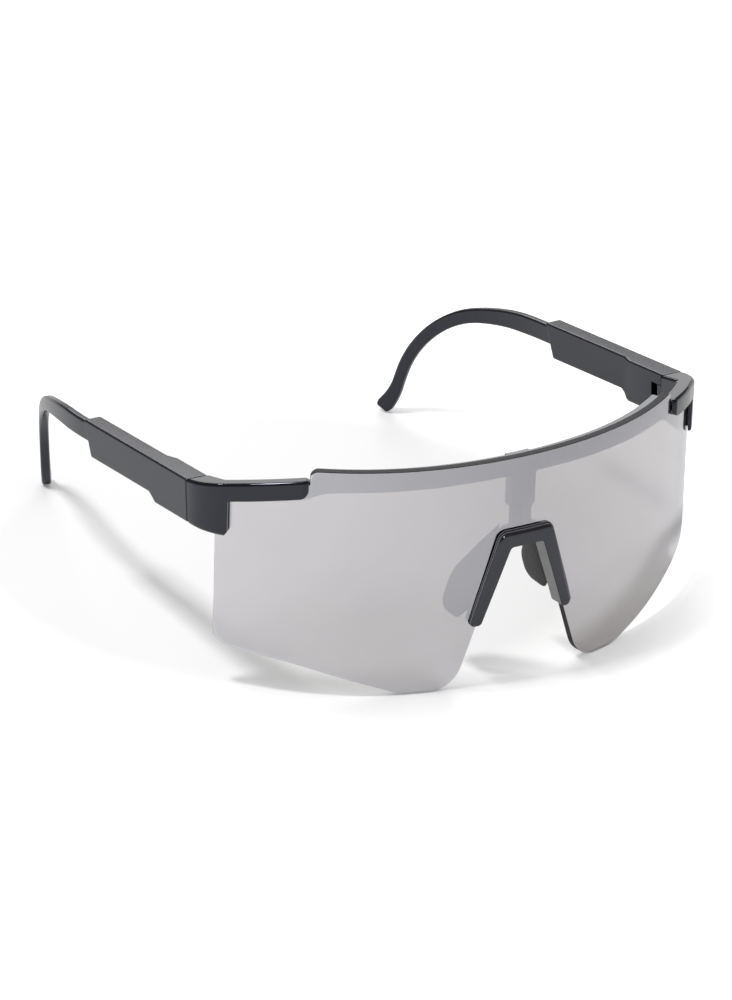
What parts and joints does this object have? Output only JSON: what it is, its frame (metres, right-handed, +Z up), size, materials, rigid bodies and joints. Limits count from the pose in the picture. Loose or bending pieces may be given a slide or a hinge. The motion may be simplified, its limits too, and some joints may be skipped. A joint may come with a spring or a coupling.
{
  "type": "shield sports sunglasses",
  "caption": "Wrap-around shield sunglasses with a straight-topped mirrored lens, a brow bar behind it, a nose bridge with rubber pads and folding temples with sliding hooked tips.",
  "frame": {"origin": "middle of the bounding box at its bottom, on the surface that the lens's two lobes and the two temple tips stand on", "axes": "+Z up as the glasses stand open on a table, the lens faces -Y, the temples run back to +Y, +X is the wearer's left"},
  "size_m": [0.145, 0.1476, 0.0589],
  "materials": {
    "lens": "silver mirror coating on tinted polycarbonate",
    "gloss_black": "high gloss black",
    "temple_black": "semi-gloss black",
    "frame_black": "semi-gloss black",
    "rubber": "soft matt black",
    "steel": "plain steel"
  },
  "bodies": {
    "front": {"lens": "lens", "brow_frame": "frame_black", "end_piece_left": "gloss_black", "end_piece_right": "gloss_black", "nose_bridge": "gloss_black", "nose_carrier": "frame_black", "nose_pad_left": "rubber", "nose_pad_right": "rubber"},
    "temple_left": {"temple_sleeve_left": "temple_black", "hinge_screw_left": "steel", "stop_pin_left": "steel", "detent_spring_left": "steel"},
    "temple_right": {"temple_sleeve_right": "temple_black", "hinge_screw_right": "steel", "stop_pin_right": "steel", "detent_spring_right": "steel"},
    "tip_left": {"temple_tip_left": "temple_black"},
    "tip_right": {"temple_tip_right": "temple_black"}
  },
  "joints": [
    {"name": "fold_left", "type": "hinge", "parent": "front", "child": "temple_left", "pos_m": [0.06804, -0.03062, 0.05056], "axis": [0, 0.1271, 0.9919], "range_deg": [0, 88]},
    {"name": "fold_right", "type": "hinge", "parent": "front", "child": "temple_right", "pos_m": [-0.06804, -0.03062, 0.05056], "axis": [0, -0.1271, -0.9919], "range_deg": [0, 76]},
    {"name": "length_left", "type": "slide", "parent": "temple_left", "child": "tip_left", "axis": [-0.0279, 0.9915, -0.127], "range_m": [-0.006, 0.008]},
    {"name": "length_right", "type": "slide", "parent": "temple_right", "child": "tip_right", "axis": [0.0279, 0.9915, -0.127], "range_m": [-0.006, 0.008]}
  ]
}
